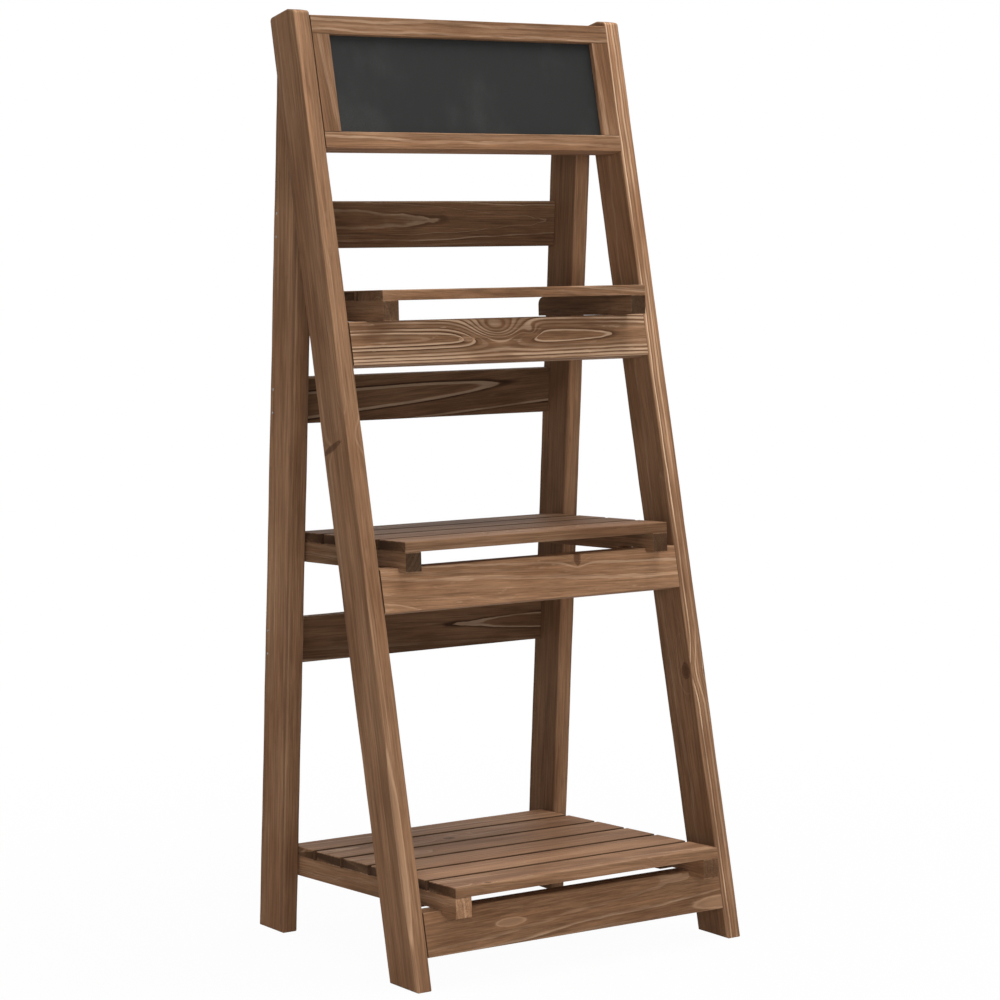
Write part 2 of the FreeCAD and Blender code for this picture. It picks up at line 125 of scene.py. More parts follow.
class StandBoardSettings(bpy.types.PropertyGroup):
    """Chalkboard and metal fittings."""

    slate: tint("Slate", "Writing surface", (0.0105, 0.0105, 0.0102))
    dust: tint("Chalk dust", "Wiped chalk in the writing surface", (0.026, 0.026, 0.025))
    zinc: tint("Zinc", "Plated screws, bolts and washers", (0.30, 0.295, 0.285))
    tarnish: tint("Tarnish", "Dull patches in the plating", (0.10, 0.092, 0.085))


class StandStageSettings(bpy.types.PropertyGroup):
    """Camera and light."""

    camera_place: bpy.props.FloatVectorProperty(
        name="Camera place", description="Where the camera stands",
        default=(-1.7414, -2.5452, 0.74875), subtype="TRANSLATION", unit="LENGTH")
    camera_turn: bpy.props.FloatVectorProperty(
        name="Camera turn", description="Yaw to the right of +Y, pitch and roll",
        default=tuple(map(math.radians, (34.54, -5.48, -0.19))), subtype="EULER")
    lens: bpy.props.FloatProperty(
        name="Lens", description="Focal length in millimetres on a 36 mm sensor", default=108.5)
    key: bpy.props.FloatProperty(
        name="Key light", description="Large soft lamp in front", default=54.0, unit="POWER")
    overhead: bpy.props.FloatProperty(
        name="Overhead light", description="Soft lamp above", default=60.0, unit="POWER")
    behind: bpy.props.FloatProperty(
        name="Rear light", description="Weak lamp behind the stand", default=14.0, unit="POWER")
    ambient: bpy.props.FloatProperty(
        name="Ambient", description="Light from the room", default=0.17)


def timber():
    return bpy.context.scene.stand_timber


def leans():
    """Leans of the two frames from upright and of the shelves from level."""
    front = timber().front_lean
    rear = JOINT_RANGE["frame_fold"] - front
    return {"front": front, "rear": rear, "shelf": math.pi / 2 - JOINT_RANGE["top_shelf_lift"] - rear}


def local_axes(kind):
    """Axes of a frame: along its legs, from its outer face inwards, and to the right. Those of a shelf run
    back along it, up from it, and to the right."""
    lean, sense = leans()[kind], -1 if kind == "rear" else 1
    sine, cosine = math.sin(lean), math.cos(lean)
    axes = np.array([(0, sense * sine, cosine), (0, sense * cosine, -sine), (1, 0, 0)])
    return axes[[1, 0, 2]] if kind == "shelf" else axes


def vectors(data, key):
    """Vectors of mesh data, a row for each."""
    values = np.empty(len(data) * 3)
    data.foreach_get(key, values)
    return values.reshape(-1, 3)


def cad_points(node):
    return vectors(frame["nodes"][node].data.vertices, "co")


def extents(node, kind):
    """Lowest and highest local coordinates of a CAD node."""
    local = cad_points(node) @ local_axes(kind).T
    return local.min(0), local.max(0)


def seed_of(name):
    return np.random.default_rng(zlib.crc32(name.encode()))


def slow_wave(place, rng, lengths=(0.21, 0.083, 0.031), weights=(0.5, 0.3, 0.2)):
    """Sum of three sines of the given wave lengths with random phases, between -1 and 1."""
    phases = rng.uniform(0, math.tau, len(lengths))
    return np.sin(math.tau * place[:, None] / np.array(lengths) + phases) @ weights


def rounded_rings(corners, radii, inset, arc_steps=5, edge_steps=3):
    """One closed ring for each row: a polygon with its sides moved inwards by the row's inset and its
    corners replaced by arcs. A corner moves by the sum of its two side normals over one plus their
    cosine, its radius shrinks by the inset on an outward corner and grows on an inward one, and the arc
    turns the first side's normal through the corner's angle. Straight parts get evenly spaced points
    with one close to each arc. Returns the rings and the ring points' share of an arc."""
    into = corners - np.roll(corners, 1, axis=0)
    into = into / np.linalg.norm(into, axis=1)[:, None]
    out = np.roll(into, -1, axis=0)
    left_in, left_out = (np.stack([-side[:, 1], side[:, 0]], axis=1) for side in (into, out))
    cosine = (into * out).sum(1)
    turn = np.arctan2(into[:, 0] * out[:, 1] - into[:, 1] * out[:, 0], cosine)
    sense = np.sign(turn)
    moved = corners + inset[:, None, None] * ((left_in + left_out) / (1 + cosine)[:, None])
    radius = np.maximum(radii - sense * inset[:, None], LEAST_RADIUS)
    start = moved - into * (radius * np.tan(np.abs(turn) / 2))[..., None]
    centre = start + sense[:, None] * left_in * radius[..., None]
    share = np.linspace(0, 1, arc_steps + 1)
    angle = turn[:, None] * share
    swung = np.stack([
        left_in[:, :1] * np.cos(angle) - left_in[:, 1:] * np.sin(angle),
        left_in[:, :1] * np.sin(angle) + left_in[:, 1:] * np.cos(angle)], axis=-1)
    arcs = centre[:, :, None] - sense[:, None, None] * swung * radius[:, :, None, None]
    end = arcs[:, :, -1]
    span = np.roll(arcs[:, :, 0], -1, axis=1) - end
    lead = np.minimum(SUPPORT / np.linalg.norm(span, axis=-1), SUPPORT_SHARE)
    along = lead[..., None] + (1 - 2 * lead[..., None]) * np.linspace(0, 1, edge_steps)
    straight = end[:, :, None] + span[:, :, None] * along[..., None]
    rings = np.concatenate([arcs, straight], axis=2).reshape(len(inset), -1, 2)
    crest = np.r_[0.25 + 0.75 * np.sin(math.pi * share), np.zeros(edge_steps)]
    return rings, np.tile(crest, len(corners))


def eased_rows(low, high, ease, body_rows, steps=4):
    """Rows of an eased prism from low to high: insets, heights, and each row's share of the easing and of
    the side. At each end a quarter circle of the easing's radius leads from the flat face to the side."""
    angle = np.linspace(0, math.pi / 2, steps + 1)
    inset = np.r_[ease + SUPPORT, ease * (1 - np.sin(angle))]
    rise = np.r_[0.0, ease * (1 - np.cos(angle))]
    body = np.linspace(low + ease + SUPPORT, high - ease - SUPPORT, body_rows)
    insets = np.r_[inset, np.zeros(body_rows), inset[::-1]]
    heights = np.r_[low + rise, body, (high - rise)[::-1]]
    crest = np.r_[0.0, np.sin(2 * angle), np.zeros(body_rows), np.sin(2 * angle)[::-1], 0.0]
    onside = np.r_[0.0, np.sin(angle), np.ones(body_rows), np.sin(angle)[::-1], 0.0]
    return insets, heights, crest, onside


def prism_faces(rows, count, inside_out=False, start=0):
    """Quads between neighbouring rings, and a many-sided face on the first and the last ring. Start is the
    number of the first point."""
    row, column = np.meshgrid(np.arange(rows - 1), np.arange(count), indexing="ij")
    here, above, beside = row * count, (row + 1) * count, (column + 1) % count
    quads = np.stack([here + column, here + beside, above + beside, above + column], axis=-1).reshape(-1, 4)
    caps = np.stack([np.arange(count)[::-1], (rows - 1) * count + np.arange(count)])
    order = -1 if inside_out else 1
    return (quads[:, ::order] + start).tolist() + (caps[:, ::order] + start).tolist()


def new_object(name, data):
    obj = bpy.data.objects.new(name, data)
    bpy.context.scene.collection.objects.link(obj)
    return obj


def new_mesh_object(name, points, faces):
    mesh = bpy.data.meshes.new(name)
    mesh.from_pydata(points.tolist(), [], faces)
    mesh.shade_smooth()
    mesh.update()
    return new_object(name, mesh)


def coat(obj, name, make):
    """Gives an object one material, made when it is first asked for."""
    obj.data.materials.clear()
    obj.data.materials.append(bpy.data.materials.get(name) or make(name))


def point_values(obj, name, values):
    """Writes a number or a vector for every point of a mesh."""
    kind, key = ("FLOAT_VECTOR", "vector") if values.ndim == 2 else ("FLOAT", "value")
    attribute = obj.data.attributes.new(name, kind, "POINT")
    attribute.data.foreach_set(key, np.ascontiguousarray(values, dtype=np.float32).ravel())


def columns(*values):
    """Numbers and arrays side by side, a row for each point."""
    return np.stack(np.broadcast_arrays(*values), axis=1)


# Figure of the boards that the eye rests on, in millimetres. Pith is the heart's place across and
# through the board from its middle, slope its drift for each millimetre along the grain, width the ring
# width. Figure is how plainly the ring lines show, and the tone how pale the board is painted: its own
# stain, with painted shade on the rear rails and painted light on the bottom slats. Patch is the amount of
# bare patches, sawn the darkness of the cut ends, wander how far the rings stray, and the fade how much
# paler the board is painted at its far end, a painted gradient of light and shade along the front legs.
# The edge darkens its front edge, which on the rear left leg is painted shade. A knot is its place along
# and across the board, its radius, which is negative where only the rings bend round it, its stretch
# across the board and its lean along it. A spot is the middle and half size of a pale boat shape along,
# across and through the board.
FIGURES = {
    "front_rail_upper": dict(
        pith=(0, -16), slope=(0.004, 0.03), width=3.35, figure=2.2, patch=0.6, tone_and_light=0.88, wander=0.35,
        knots=((-9, 7, -9.0, 1.0, 0.25), (34, 4, -2.6, 1.4, 0.0)), spots=(((-45, -1, 0), (12, 2.6, 1000)),)),
    "front_rail_middle": dict(
        pith=(-42, -60), slope=(0.03, 0.02), width=5.0, figure=0.5, patch=0.3, tone_and_light=1.02,
        knots=((54, 14, 3.0, 2.5, 0.0),)),
    "front_rail_lower": dict(
        pith=(12, -40), slope=(-0.02, 0.035), width=7.0, figure=0.6, tone_and_light=0.82, wander=0.7,
        spots=(((-82, -2, 0), (23, 5, 1000)), ((182, -16, 0), (50, 8, 1000)))),
    # The rear rails lie behind the front frame: their dark tones are painted shade.
    "rear_rail_upper": dict(
        pith=(6, -22), slope=(0.01, 0.022), width=3.5, figure=1.3, tone_and_light=0.46, wander=0.6),
    "rear_rail_middle": dict(
        pith=(3.5, -15), slope=(-0.06, 0.018), width=11.28, figure=2.7, tone_and_light=0.40, wander=0.12),
    "rear_rail_lower": dict(
        pith=(3, -18), slope=(0.03, -0.010), width=7.83, figure=2.4, patch=0.2, tone_and_light=0.43, wander=0.3),
    # The front legs' fades are painted light and shade: the left leg paler towards its foot, the right leg
    # darker at its foot.
    "front_leg_left": dict(
        pith=(-34, -60), slope=(0.012, 0.0), width=5.6, figure=0.3, tone_and_light=0.9, light_fade=-0.02,
        knots=((47, 5, 2.3, 7.0, 0.25), (57, -20, -5.0, 1.0, 0.0)), spots=(((-350, -24, -9), (120, 5, 8)),)),
    "front_leg_right": dict(
        pith=(-30, -160), slope=(-0.012, 0.006), width=3.6, figure=1.5, patch=0.03, tone_and_light=1.08, light_fade=0.1,
        wander=0.6, knots=((-210, -16, 6.0, 1.0, 0.0), (-185, -14, -4.0, 1.0, 0.0))),
    # The edge on the rear left leg is painted shade where the front frame shades its front edge.
    "rear_leg_left": dict(
        pith=(36, -70), slope=(0.01, 0.0), width=5.8, figure=0.14, patch=0.05, tone_and_light=1.1, edge=0.5),
    "rear_leg_right": dict(
        pith=(30, -70), slope=(-0.01, 0.0), width=5.6, figure=0.16, patch=0.05, tone_and_light=0.84),
    "chalkboard_top_rail": dict(pith=(30, -50), slope=(0.01, 0.01), width=3.6, figure=0.5, tone_and_light=0.73),
    "chalkboard_bottom_rail": dict(pith=(-30, -50), slope=(0.0, 0.02), width=3.8, figure=0.6, tone_and_light=0.87),
    "chalkboard_stile_left": dict(pith=(-25, -60), slope=(0.07, 0.0), width=4.5, figure=0.4, tone_and_light=0.72),
    "chalkboard_stile_right": dict(pith=(25, -60), slope=(0.05, 0.0), width=4.5, figure=0.5, tone_and_light=0.86),
    "top_slat_1": dict(pith=(-20, -26), slope=(0.03, 0.05), width=5.5, figure=0.5, tone_and_light=0.88),
    # The middle slats are painted darker to offset the grey sheen that the white room lays on them.
    "middle_slat_1": dict(tone_and_light=0.88, figure=0.5, edge=0.3),
    "middle_slat_2": dict(tone_and_light=0.73, figure=0.5),
    "middle_slat_3": dict(tone_and_light=0.79, figure=0.4),
    "middle_slat_4": dict(tone_and_light=0.75, figure=0.5),
    # The bottom slats' pale tones are painted light against the shade of the legs and the shelves above.
    "bottom_slat_1": dict(
        pith=(-16, -30), slope=(0.02, 0.04), width=5.0, figure=0.5, tone_and_light=1.12, edge=0.34,
        knots=((-120, -19, 2.6, 1.0, 0.0), (84, -24, -3.0, 1.0, 0.0))),
    "bottom_slat_2": dict(tone_and_light=1.21, figure=0.5),
    "bottom_slat_3": dict(tone_and_light=1.27, figure=0.4),
    "bottom_slat_4": dict(tone_and_light=1.32, figure=0.5),
    "bottom_slat_5": dict(
        pith=(10, -30), slope=(0.02, 0.03), width=5.0, figure=0.5, tone_and_light=1.3,
        knots=((-15, -5, 4.5, 1.0, 0.0),)),
    "bottom_slat_6": dict(tone_and_light=1.33, figure=0.4),
    "top_batten_left": dict(tone_and_light=0.66),
    "top_batten_right": dict(sawn=0.6, tone_and_light=0.53),
    "middle_batten_left": dict(sawn=0.72, tone_and_light=0.66),
    "middle_batten_right": dict(sawn=0.55, tone_and_light=0.72),
    "bottom_batten_left": dict(sawn=-0.2, tone_and_light=0.93, figure=0.3),
    "bottom_batten_right": dict(sawn=0.35, tone_and_light=0.78),
}


def board_figure(name):
    """Figure drawn from a board's name, except for what the table says of it."""
    rng = seed_of(name)
    drawn = dict(
        pith=(rng.uniform(-34, 34), rng.uniform(-70, -24)),
        slope=(rng.uniform(-0.02, 0.02), rng.uniform(-0.035, 0.035)), width=rng.uniform(4.0, 6.0),
        figure=rng.uniform(0.2, 0.4), tone_and_light=rng.uniform(0.93, 1.05),
        patch=0.1, sawn=0.45, wander=1.0, light_fade=0.0, edge=0.0, knots=(), spots=())
    drawn.update(FIGURES.get(name, {}))
    return drawn


def lay_grain(obj, figure, rng, local, axes, grain, across, through):
    """Stores where each point lies in the tree: along the grain, and across and through the rings from
    the pith, which drifts along the board. Knot and spot vectors point from the middle of each to the
    point, in its own stretched axes, and the third number of a knot is its size. Facing is the surface
    normal across and through the board."""
    place = local - (local.max(0) + local.min(0)) / 2
    run, wide, deep = place[:, grain], place[:, across], place[:, through]
    rings = columns(wide, deep) - np.array(figure["pith"]) * MM + np.outer(run, figure["slope"])
    point_values(obj, "grain", np.c_[run + rng.uniform(0, 40), rings])
    facing = vectors(obj.data.vertex_normals, "vector") @ axes.T
    point_values(obj, "facing", columns(0.0, facing[:, across], facing[:, through]))
    for label, (at, off, radius, stretch, lean) in zip(KNOTS, figure["knots"] + (NO_KNOT,) * len(KNOTS)):
        over = wide - off * MM + KNOT_SLANT[1] * deep
        ahead = run - at * MM + KNOT_SLANT[0] * deep + lean * over
        point_values(obj, label, columns(ahead, over / stretch, radius * MM))
    for label, (middle, half) in zip(SPOTS, figure["spots"] + (NO_SPOT,) * len(SPOTS)):
        point_values(obj, label, (columns(run, wide, deep) / MM - middle) / half)
    # The fade paints a gradient of light and shade along the board on top of its tone.
    tone_and_light = figure["tone_and_light"] * (1 + figure["light_fade"] * run / run.max())
    point_values(obj, "traits", columns(tone_and_light, figure["figure"], figure["width"]))
    point_values(obj, "habits", np.tile([figure["patch"], figure["sawn"], figure["wander"]], (len(run), 1)))


def side_shade(gaps, arc_points, edge_steps):
    """Painted shade round a ring whose sides are shaded from 0 to 1: even on a side's straight part, and
    running out over the arcs at its two ends."""
    share = np.linspace(-1, 1, arc_points)
    leaving, entering = np.clip(1.7 - 2 * share, 0, 1), np.clip(1.7 + 2 * share, 0, 1)
    on_arc = np.maximum(np.roll(gaps, 1)[:, None] * leaving, gaps[:, None] * entering)
    on_side = np.repeat(gaps[:, None], edge_steps, axis=1)
    return np.concatenate([on_arc, on_side], axis=1).ravel()


def make_board(node, kind, corners, radii, ease, plane, grain, across, through, span=None, end_sides=(),
               shaded_gap_sides=(), front_side=0, seams=False, shaded_face=0, body_rows=2, edge_steps=3):
    """Board that replaces a CAD node: a rounded polygon in the plane of two local axes, carried along the
    third over the span, or else the node's own, with its rims eased. The easing, or the arcs along a long
    board, change a little along the length, as hand work does. End sides are the polygon's sides across
    the grain, and shaded gap sides those that face a narrow gap and get painted shade there. The front side
    is the one that the figure's edge darkens, as painted shade on the rear left leg. Seams says that the
    ends meet another board and take dark joint stain. The shaded face is the sign of the face that gets
    painted shade, the inner face of a leg."""
    rng = seed_of(node + " edges")
    hand_share = timber().hand_share
    figure = board_figure(node)
    corners, radii = np.asarray(corners, dtype=float), np.asarray(radii, dtype=float)
    axes, normal = local_axes(kind), 3 - sum(plane)
    span = span or [end[normal] for end in extents(node, kind)]
    area = np.sum(corners[:, 0] * np.roll(corners[:, 1], -1) - np.roll(corners[:, 0], -1) * corners[:, 1])
    ends, gaps = np.zeros(len(corners)), np.zeros(len(corners))
    ends[list(end_sides)] = 1.0
    gaps[list(shaded_gap_sides)] = 1.0
    # The figure's edge darkens the front side; on the rear left leg this is painted shade.
    gaps[front_side] = max(gaps[front_side], figure["edge"])
    if area < 0:
        corners, radii = corners[::-1], radii[::-1]
        ends, gaps = np.roll(ends[::-1], -1), np.roll(gaps[::-1], -1)
    insets, heights, crest, onside = eased_rows(span[0], span[1], ease, body_rows)
    rim = (insets > 0)[:, None]
    along_rows = 1 + hand_share * slow_wave(heights, rng)
    row_radii = radii * (along_rows[:, None] if normal == grain else np.ones((len(heights), 1)))
    rings, arc = rounded_rings(corners, row_radii, insets, edge_steps=edge_steps)
    side_rings, _ = rounded_rings(corners, row_radii, np.zeros_like(insets), edge_steps=edge_steps)
    count = rings.shape[1]
    sway = np.ones(count)
    if normal != grain:
        sway = 1 + hand_share * slow_wave(side_rings[0][:, plane.index(grain)], rng)
    base = np.where(np.arange(len(heights)) < len(heights) / 2, span[0], span[1])[:, None]
    local = np.empty((len(heights), count, 3))
    local[..., list(plane)] = side_rings + (rings - side_rings) * sway[:, None]
    local[..., normal] = base + (heights[:, None] - base) * np.where(rim, sway, 1.0)
    local = local.reshape(-1, 3)
    inside_out = np.linalg.det(axes[[*plane, normal]]) < 0
    obj = new_mesh_object(node + "_wood", local @ axes, prism_faces(len(heights), count, inside_out))
    lay_grain(obj, figure, seed_of(node + " grain"), local, axes, grain, across, through)
    point_values(obj, "arris", np.maximum(crest[:, None], arc * onside[:, None]).ravel())
    per_corner = count // len(corners)
    arc_points = per_corner - edge_steps
    if normal == grain:
        cut = np.repeat(1 - onside, count)
    else:
        straight = np.tile(np.arange(per_corner) >= arc_points, len(corners))
        cut = (np.repeat(ends, per_corner) * straight * onside[:, None]).ravel()
    point_values(obj, "cut_end", cut)
    # Painted shade in narrow gaps, on front edges and on the inner faces of the legs, and dark joint stain at
    # the seams.
    joint_stain_and_shade = np.tile(side_shade(gaps, arc_points, edge_steps), (len(heights), 1))
    if shaded_face:
        # Painted shade on the inner face of a leg, darkest on that face and fading through the board.
        inner = INNER_FACE_SHADE * np.clip(shaded_face * np.linspace(-1.2, 1.2, len(heights)), 0, 1)
        joint_stain_and_shade = np.maximum(joint_stain_and_shade, inner[:, None])
    if seams:
        joint_stain_and_shade = np.maximum(joint_stain_and_shade, rim)
    point_values(obj, "joint_stain_and_shade", joint_stain_and_shade.ravel())
    coat(obj, "Stained softwood", timber_material)
    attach(obj, node.split("_")[0] + "_shelf" if kind == "shelf" else kind + "_frame")
    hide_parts(node)


class Web:
    """Short calls that add nodes to a shader tree and return their output sockets."""

    def __init__(self, tree):
        self.tree = tree

    def add(self, kind, **settings):
        node = self.tree.nodes.new(kind)
        for key, value in settings.items():
            setattr(node, key, value)
        return node

    def feed(self, socket, value):
        if isinstance(value, bpy.types.NodeSocket):
            self.tree.links.new(value, socket)
        else:
            socket.default_value = value

    def filled(self, node, *values, **named):
        """Feeds a node's inputs, in order or by name."""
        for socket, value in zip(node.inputs, values):
            self.feed(socket, value)
        for label, value in named.items():
            self.feed(node.inputs[label], value)
        return node.outputs

    def math(self, operation, *values, clamp=False):
        return self.filled(self.add("ShaderNodeMath", operation=operation, use_clamp=clamp), *values)[0]

    plus = partialmethod(math, "ADD")
    minus = partialmethod(math, "SUBTRACT")
    times = partialmethod(math, "MULTIPLY")
    over = partialmethod(math, "DIVIDE")
    most = partialmethod(math, "MAXIMUM")

    def square(self, value):
        return self.times(value, value)

    def squares(self, first, second):
        return self.plus(self.square(first), self.square(second))

    def bell(self, square):
        """One at nought, falling off with a squared distance."""
        return self.math("EXPONENT", self.times(square, -1.0))

    def stretch(self, vector, scale):
        return self.filled(self.add("ShaderNodeVectorMath", operation="MULTIPLY"), vector, scale)[0]

    def length(self, vector):
        return self.filled(self.add("ShaderNodeVectorMath", operation="LENGTH"), vector)["Value"]

    def split(self, vector):
        return self.filled(self.add("ShaderNodeSeparateXYZ"), vector)

    def noise(self, vector, scale, detail=2.0, roughness=0.5):
        """Noise with its own scale along each axis."""
        node, place = self.add("ShaderNodeTexNoise"), self.stretch(vector, scale)
        return self.filled(node, Vector=place, Scale=1.0, Detail=detail, Roughness=roughness)["Fac"]

    def slope(self, value, low, high, to_low=0.0, to_high=1.0):
        node = self.add("ShaderNodeMapRange", interpolation_type="SMOOTHSTEP")
        return self.filled(node, value, low, high, to_low, to_high)[0]

    def blend(self, share, first, second, kind="MIX"):
        """Mixes two colours, which may be given as three numbers."""
        node = self.add("ShaderNodeMix", data_type="RGBA", blend_type=kind)
        self.feed(node.inputs[0], share)
        for socket, value in zip(node.inputs[6:8], (first, second)):
            self.feed(socket, value if isinstance(value, bpy.types.NodeSocket) else (*value, 1.0))
        return node.outputs[2]

    def shade(self, colour, value):
        """Multiplies a colour by a number."""
        grey = self.filled(self.add("ShaderNodeCombineColor"), value, value, value)[0]
        return self.blend(1.0, colour, grey, "MULTIPLY")

    def value(self, name, output="Fac"):
        node = self.add("ShaderNodeAttribute", attribute_name=name, attribute_type="GEOMETRY")
        return node.outputs[output]

    def vector(self, name):
        return self.value(name, "Vector")

    def group(self, tree, **inputs):
        return self.filled(self.add("ShaderNodeGroup", node_tree=tree), **inputs)

    def bump(self, shader, height, strength, distance):
        node = self.add("ShaderNodeBump")
        bumped = self.filled(node, Height=height, Strength=strength, Distance=distance)
        self.feed(shader.inputs["Normal"], bumped["Normal"])

    def white_where_seen(self, lit, white, output, share=1.0):
        """Shows the white shader to the camera and to reflections, and the lit one to all other light."""
        path = self.add("ShaderNodeLightPath").outputs
        seen = self.most(path["Is Camera Ray"], self.most(path["Is Glossy Ray"], path["Is Transmission Ray"]))
        mixed = self.add("ShaderNodeMixShader")
        self.filled(mixed, self.times(seen, share), lit.outputs[0], white.outputs[0])
        self.feed(self.add(output).inputs["Surface"], mixed.outputs[0])


def clean_web(owner):
    """Web of a material's or world's tree with no nodes in it."""
    owner.use_nodes = True
    owner.node_tree.nodes.clear()
    return Web(owner.node_tree)


def new_group(name, vectors, numbers, outputs):
    """Empty shader group that takes vectors and numbers and puts out numbers: its Web, and the sockets of
    its two end nodes."""
    tree = bpy.data.node_groups.new(name, "ShaderNodeTree")
    for label in vectors + numbers:
        kind = "NodeSocketVector" if label in vectors else "NodeSocketFloat"
        tree.interface.new_socket(label, in_out="INPUT", socket_type=kind)
    for label in outputs:
        tree.interface.new_socket(label, in_out="OUTPUT", socket_type="NodeSocketFloat")
    web = Web(tree)
    return web, web.add("NodeGroupInput").outputs, web.add("NodeGroupOutput").inputs


def knot_group():
    """Knot seen from a point: the distance in knot radii gives its heart and its dark rim, which a negative
    radius leaves out, and the rings are pushed aside by a bell more than twice as long as wide."""
    web, given, out = new_group("Stand knot", ["Knot"], [], ["Heart", "Rim", "Push"])
    run, wide, signed = web.split(given["Knot"])
    radius = web.math("ABSOLUTE", signed)
    least = web.most(radius, 0.00001)
    run = web.over(run, least)
    wide = web.over(wide, least)
    ragged = web.noise(given["Knot"], (260, 420, 1))
    reach = web.math("SQRT", web.squares(web.over(run, 1.35), wide))
    reach = web.plus(reach, web.times(web.minus(ragged, 0.5), 0.55))
    real = web.math("GREATER_THAN", signed, 0.0)
    off = web.over(web.minus(reach, 0.95), 0.16)
    bell = web.bell(web.squares(web.over(run, 3.6), web.over(wide, 1.6)))
    web.feed(out["Heart"], web.times(web.slope(reach, 0.7, 1.0, 1.0, 0.0), real))
    web.feed(out["Rim"], web.times(web.bell(web.square(off)), real))
    web.feed(out["Push"], web.times(bell, web.times(radius, 2300.0)))
    return web.tree


def ring_group():
    """Growth rings: the distance from the pith in millimetres, wandering with two noises and pushed by knots,
    over the ring width, with wide and narrow years. The distance to the nearest ring's end, over the share
    of the growth direction that lies in the face, gives lines of even thickness: a pale late wood line, as
    plain as that year's own number, with a thin dark line behind it."""
    numbers = ["Width", "Push", "Wander", "Thickness"]
    web, given, out = new_group("Stand growth rings", ["Grain", "Facing"], numbers, ["Late", "Early Edge"])
    grain, width, wander = given["Grain"], given["Width"], given["Wander"]
    _, wide, deep = web.split(grain)
    radius = web.math("SQRT", web.squares(wide, deep))
    slow = web.noise(grain, (4.5, 14, 14), detail=1.5)
    quick = web.noise(grain, (30, 80, 80), detail=2.5)
    stray = web.plus(web.times(web.minus(slow, 0.5), 13.0), web.times(web.minus(quick, 0.5), 3.2))
    far = web.plus(web.times(radius, 1000.0), web.times(stray, wander))
    ring = web.over(web.plus(far, given["Push"]), width)
    seasons = web.add("ShaderNodeTexNoise", noise_dimensions="1D")
    web.feed(seasons.inputs["W"], web.times(ring, 0.4))
    ring = web.plus(ring, web.times(web.minus(seasons.outputs["Fac"], 0.5), wander))
    _, facing_wide, facing_deep = web.split(given["Facing"])
    outward = web.over(web.plus(web.times(wide, facing_wide), web.times(deep, facing_deep)), radius)
    steep = web.math("SQRT", web.most(web.minus(1.0, web.square(outward)), 0.03))
    steep = web.times(steep, given["Thickness"])
    shifted = web.plus(ring, 0.5)
    off = web.over(web.times(web.minus(web.math("FRACT", shifted), 0.5), width), steep)
    year = web.add("ShaderNodeTexWhiteNoise", noise_dimensions="1D")
    web.feed(year.inputs["W"], web.math("FLOOR", shifted))
    strength = web.slope(year.outputs["Value"], 0.25, 1.0, 0.12, 1.0)
    late = web.times(web.slope(off, -1.7, -0.3), web.slope(off, 0.25, 0.8, 1.0, 0.0))
    dark = web.times(web.slope(off, 0.4, 0.9), web.slope(off, 1.0, 2.6, 1.0, 0.0))
    web.feed(out["Late"], web.times(late, strength))
    web.feed(out["Early Edge"], web.times(dark, strength))
    return web.tree


def fibre_group():
    """Fibres, streaks, bands, clouds and bare patches of a board: noises stretched along the grain."""
    outputs = ["Fibre", "Streak", "Band", "Cloud", "Pore", "Patch"]
    web, given, out = new_group("Stand fibres", ["Grain"], [], outputs)
    grain = given["Grain"]
    web.feed(out["Fibre"], web.noise(grain, (16, 780, 780), detail=3, roughness=0.65))
    web.feed(out["Streak"], web.noise(grain, (5, 230, 230), detail=3, roughness=0.6))
    web.feed(out["Band"], web.noise(grain, (1.6, 60, 60)))
    web.feed(out["Cloud"], web.noise(grain, (7, 26, 26), detail=3, roughness=0.55))
    pore = web.noise(grain, (90, 2600, 2600), detail=1)
    web.feed(out["Pore"], web.slope(pore, 0.62, 0.74))
    patch = web.noise(grain, (30, 170, 170), detail=3, roughness=0.6)
    web.feed(out["Patch"], web.slope(patch, 0.63, 0.71))
    return web.tree


def pale_spot(web, label):
    """Share of a pale boat-shaped spot: inside an ellipse with a ragged, paler edge."""
    spot = web.vector(label)
    reach = web.plus(web.length(spot), web.times(web.noise(spot, (3, 2, 1)), 0.3))
    off = web.over(web.minus(reach, 0.9), 0.1)
    rim = web.times(web.bell(web.square(off)), 0.45)
    return web.plus(web.slope(reach, 0.88, 1.04, 0.4, 0.0), rim)


def new_material(name):
    """Material with a clean tree, its Web and its Principled shader."""
    material = bpy.data.materials.new(name)
    web = clean_web(material)
    shader = web.add("ShaderNodeBsdfPrincipled")
    web.feed(web.add("ShaderNodeOutputMaterial").inputs["Surface"], shader.outputs[0])
    return material, web, shader


